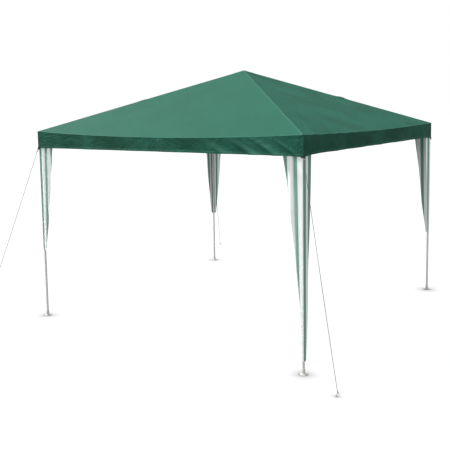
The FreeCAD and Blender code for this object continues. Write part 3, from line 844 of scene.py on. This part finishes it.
class GAZEBO_OT_ropes(bpy.types.Operator):
    """Makes the three guy ropes with an eye at each end"""
    bl_idname = "gazebo.ropes"
    bl_label = "Guy ropes"

    def execute(self, context):
        material = rope_braid()
        for corner, route in ROPE_ROUTES.items():
            curve = bpy.data.curves.new(corner + "_guy_rope", "CURVE")
            curve.dimensions = "3D"
            spline = curve.splines.new("NURBS")
            spline.points.add(len(route) - 1)
            for point, place in zip(spline.points, route):
                point.co = (*place, 1.0)
            spline.order_u = 3
            spline.use_endpoint_u = True
            spline.resolution_u = 24
            curve.bevel_depth = ROPE_RADIUS
            curve.bevel_resolution = 4
            curve.use_fill_caps = True
            curve.materials.append(material)
            rope = new_object(corner + "_guy_rope", curve)
            body = corner + "_rope"
            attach(rope, body)
            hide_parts(corner + "_rope")
            start, middle, end = [Vector(place) for place in route]
            across = (end - start).cross(Vector((0, 0, 1))).normalized()
            reach = ROPE_EYE + ROPE_RADIUS + EYE_GAP
            for label, place, run in (("top", start, start - middle), ("low", end, end - middle)):
                centre = place + run.normalized() * reach
                eye = ring_mesh(
                    corner + "_rope_eye_" + label, centre, across, ROPE_EYE, ROPE_RADIUS, material
                )
                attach(eye, body)
        return {"FINISHED"}


class GAZEBO_OT_stage(bpy.types.Operator):
    """Makes the pale floor, with painted contact shadows, and the soft lights"""
    bl_idname = "gazebo.stage"
    bl_label = "Floor and lights"

    def execute(self, context):
        mesh = bpy.data.meshes.new("Floor")
        square = [(x * FLOOR_REACH, y * FLOOR_REACH, 0) for x, y in ((-1, -1), (1, -1), (1, 1), (-1, 1))]
        mesh.from_pydata(square, [], [(0, 1, 2, 3)])
        material, tree, shader = new_material("Pale floor", Roughness=0.9, Specular_IOR_Level=0.0)
        grain = add_node(tree, "ShaderNodeTexNoise", {"Scale": 40.0})
        base = mixed(tree, grain.outputs[0], paint("floor"), (0.025, 0.025, 0.025))
        tree.links.new(base, shader.inputs["Base Color"])
        shader.inputs["Emission Color"].default_value = (1, 1, 1, 1)
        path = add_node(tree, "ShaderNodeLightPath")
        # Painted shadow: the floor's glow dims by ambient occlusion near the feet and the other parts, as
        # soft contact shadows.
        near = add_node(tree, "ShaderNodeAmbientOcclusion", {"Distance": CONTACT_REACH}, samples=16)
        painted_contact_shadow = maths(tree, "POWER", near.outputs["AO"], CONTACT_POWER)
        seen = maths(tree, "MULTIPLY", path.outputs["Is Camera Ray"], 0.45)
        glow = maths(tree, "MULTIPLY", maths(tree, "ADD", seen, FLOOR_GLOW), painted_contact_shadow)
        tree.links.new(glow, shader.inputs["Emission Strength"])
        mesh.materials.append(material)
        floor = new_object("Floor", mesh)
        for sun in SUNS:
            self.add_sun(*sun)
        world = bpy.data.worlds.new("Studio")
        context.scene.world = world
        world.use_nodes = True
        sky = world.node_tree.nodes["Background"]
        sky.inputs["Color"].default_value = (1, 1, 1, 1)
        seen = add_node(world.node_tree, "ShaderNodeLightPath").outputs["Is Camera Ray"]
        strength = maths(world.node_tree, "MULTIPLY_ADD", seen, 1.0 - SKY_GLOW, SKY_GLOW)
        world.node_tree.links.new(strength, sky.inputs["Strength"])
        context.scene.view_settings.view_transform = "Standard"
        return {"FINISHED"}

    def add_sun(self, name, direction, strength, spread):
        """A soft sun that shines along a direction; its spread is in degrees."""
        data = bpy.data.lights.new(name, "SUN")
        data.energy = strength
        data.angle = math.radians(spread)
        light = new_object(name, data)
        light.matrix_world = Vector(direction).to_track_quat("-Z", "Y").to_matrix().to_4x4()


class GAZEBO_OT_finishes(bpy.types.Operator):
    """Gives the tubes, fittings, feet, rings and pegs their finishes"""
    bl_idname = "gazebo.finishes"
    bl_label = "Frame finishes"

    def execute(self, context):
        finishes = {
            "white_tube": hard_finish("White powder coat", paint("tube"), 0.38, 0.25, 0.0003, coat=0.3),
            "zinc_steel": brushed_zinc(),
            "black_nylon": hard_finish("Black moulded nylon", paint("nylon"), 0.52, 0.5, 0.0005),
            "grey_plastic": hard_finish("Grey moulded plastic", paint("plastic"), 0.48, 0.35, 0.0004),
        }
        soft = ("green_cloth", "striped_cloth", "white_rope")
        for node in frame["nodes"].values():
            for slot in node.material_slots:
                key = slot.material.name.split(".")[0]
                if key in finishes:
                    slot.material = finishes[key]
                elif key not in soft:
                    raise RuntimeError("no finish for " + key + " on " + node.name)
        return {"FINISHED"}


class GAZEBO_OT_roof(bpy.types.Operator):
    """Makes the roof cloth: a patch over the hub and two parts over each arm"""
    bl_idname = "gazebo.roof"
    bl_label = "Roof cloth"

    def execute(self, context):
        size = sizes()
        material = green_cloth()
        start = size.roof_start / HALF
        crown = size.crown_reach / HALF
        grids = [
            roof_grid(corner, face, 0.0, crown, 15, CROWN_LIFT) for corner in CORNERS for face in FACES
        ]
        patch = cloth_piece("roof_crown", grids, (0, 0, 1), material)
        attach(patch, "hub")
        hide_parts("canopy")
        for corner in CORNERS:
            for face in FACES:
                for part, low, high, rows in (("inner", start, 1.0, 61), ("outer", 1.0, 2.0, 69)):
                    grid = roof_grid(corner, face, low, high, rows)
                    self.roof_part(corner, face, part, grid, material)
        return {"FINISHED"}

    def roof_part(self, corner, face, part, grid, material):
        """One part of the roof, which rides on its arm."""
        piece = cloth_piece("%s_%s_roof_%s" % (corner, part, face), [grid], (0, 0, 1), material)
        arm = "%s_%s_arm" % (corner, part)
        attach(piece, arm)
        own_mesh(piece)
        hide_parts("canopy")


class GAZEBO_OT_valance(bpy.types.Operator):
    """Makes the valance, in two halves on each side"""
    bl_idname = "gazebo.valance"
    bl_label = "Valance"

    def execute(self, context):
        material = green_cloth()
        for corner in CORNERS:
            for face in FACES:
                name = "%s_valance_%s" % (corner, face)
                outward = face_outward(corner, face)
                piece = cloth_piece(name, [valance_grid(corner, face)], outward, material)
                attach(piece, corner + "_upper_leg")
                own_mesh(piece)
                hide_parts("canopy")
        return {"FINISHED"}


class GAZEBO_OT_curtains(bpy.types.Operator):
    """Makes the four corner curtains, each in two wings and two narrow sleeves"""
    bl_idname = "gazebo.curtains"
    bl_label = "Corner curtains"

    def execute(self, context):
        size = sizes()
        material = curtain_cloth()
        for corner in CORNERS:
            node = corner + "_curtain"
            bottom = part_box(node)[0].z
            split = size.curtain_split
            for face in FACES:
                outward = face_outward(corner, face)
                wing = cloth_piece(
                    "%s_curtain_wing_%s" % (corner, face),
                    [curtain_grid(corner, face, split, CURTAIN_TOP, 61)], outward, material,
                )
                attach(wing, corner + "_upper_leg")
                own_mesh(wing)
                sleeve = cloth_piece(
                    "%s_curtain_sleeve_%s" % (corner, face),
                    [curtain_grid(corner, face, bottom, split, 41)], outward, material,
                )
                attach(sleeve, corner + "_upper_leg")
                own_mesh(sleeve)
                for piece, tall in ((wing, CURTAIN_TOP - split), (sleeve, split - bottom)):
                    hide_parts(node)
        return {"FINISHED"}


class GAZEBO_OT_webbing(bpy.types.Operator):
    """Makes the sewn corner patches and the straps that hold the rings"""
    bl_idname = "gazebo.webbing"
    bl_label = "Corner webbing"

    def execute(self, context):
        material = webbing_tape()
        for corner in CORNERS:
            grids = [web_triangle(corner, face) for face in FACES]
            sign_x, sign_y = CORNERS[corner]
            patch = cloth_piece(corner + "_corner_patch", grids, (sign_x, sign_y, 0), material)
            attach(patch, corner + "_upper_leg")
            if corner in ROPE_ROUTES:
                grid = strap_grid(corner)
                strap = cloth_piece(corner + "_ring_strap", [grid], (sign_x, sign_y, 0), material)
                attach(strap, corner + "_upper_leg")
        return {"FINISHED"}


class GAZEBO_PT_panel(bpy.types.Panel):
    """Lists the gazebo's sizes, colours and makers"""
    bl_idname = "GAZEBO_PT_panel"
    bl_label = "Gazebo"
    bl_space_type = "VIEW_3D"
    bl_region_type = "UI"
    bl_category = "Gazebo"

    def draw(self, context):
        for title in ("gazebo_sizes", "gazebo_colours", "gazebo_view"):
            values = getattr(context.scene, title)
            box = self.layout.box()
            for key in values.__annotations__:
                box.prop(values, key)
        for operator in OPERATORS:
            self.layout.operator(operator.bl_idname)


GROUPS = (GazeboSizes, GazeboColours, GazeboView)
OPERATORS = (
    GAZEBO_OT_camera,
    GAZEBO_OT_ropes,
    GAZEBO_OT_stage,
    GAZEBO_OT_finishes,
    GAZEBO_OT_roof,
    GAZEBO_OT_valance,
    GAZEBO_OT_curtains,
    GAZEBO_OT_webbing,
)


def register():
    for item in GROUPS + OPERATORS + (GAZEBO_PT_panel,):
        bpy.utils.register_class(item)
    bpy.types.Scene.gazebo_sizes = PointerProperty(type=GazeboSizes)
    bpy.types.Scene.gazebo_colours = PointerProperty(type=GazeboColours)
    bpy.types.Scene.gazebo_view = PointerProperty(type=GazeboView)


def unregister():
    del bpy.types.Scene.gazebo_view
    del bpy.types.Scene.gazebo_colours
    del bpy.types.Scene.gazebo_sizes
    for item in reversed(GROUPS + OPERATORS + (GAZEBO_PT_panel,)):
        bpy.utils.unregister_class(item)


def main():
    register()
    bpy.ops.gazebo.camera()
    bpy.ops.gazebo.ropes()
    bpy.ops.gazebo.stage()
    bpy.ops.gazebo.finishes()
    bpy.ops.gazebo.roof()
    bpy.ops.gazebo.valance()
    bpy.ops.gazebo.curtains()
    bpy.ops.gazebo.webbing()


if __name__ == "__main__":
    main()
